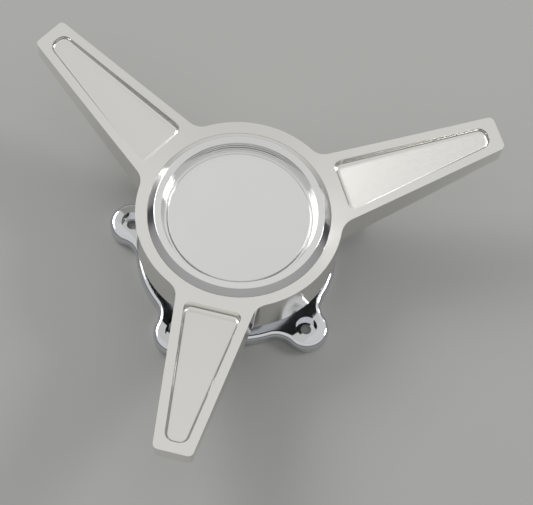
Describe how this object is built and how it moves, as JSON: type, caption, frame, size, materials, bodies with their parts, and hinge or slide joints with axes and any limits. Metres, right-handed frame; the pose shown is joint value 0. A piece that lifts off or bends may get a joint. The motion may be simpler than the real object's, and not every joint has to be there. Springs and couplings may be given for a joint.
{
  "type": "wheel spinner centre cap",
  "caption": "Wheel spinner centre cap: polished hub with tapering pocketed bars and a stepped medallion recess, on a chromed flange with counterbored bolt ears.",
  "frame": {"origin": "centre of the ears' screw-hole circle, in the plane of the mounting face under the base", "axes": "+Z along the wheel's axis, outwards from the wheel; +X along the first bar"},
  "size_m": [0.1678, 0.1932, 0.0521],
  "materials": {
    "spinner": "polished billet",
    "center_cap": "bright turned",
    "medallion": "satin",
    "base_housing": "mirror chrome",
    "spinner_screws": "zinc plated",
    "lock_washers": "zinc plated"
  },
  "bodies": {
    "root": {"spinner": "spinner", "center_cap": "center_cap", "medallion": "medallion", "base_housing": "base_housing", "spinner_screws": "spinner_screws", "lock_washers": "lock_washers"}
  },
  "joints": []
}
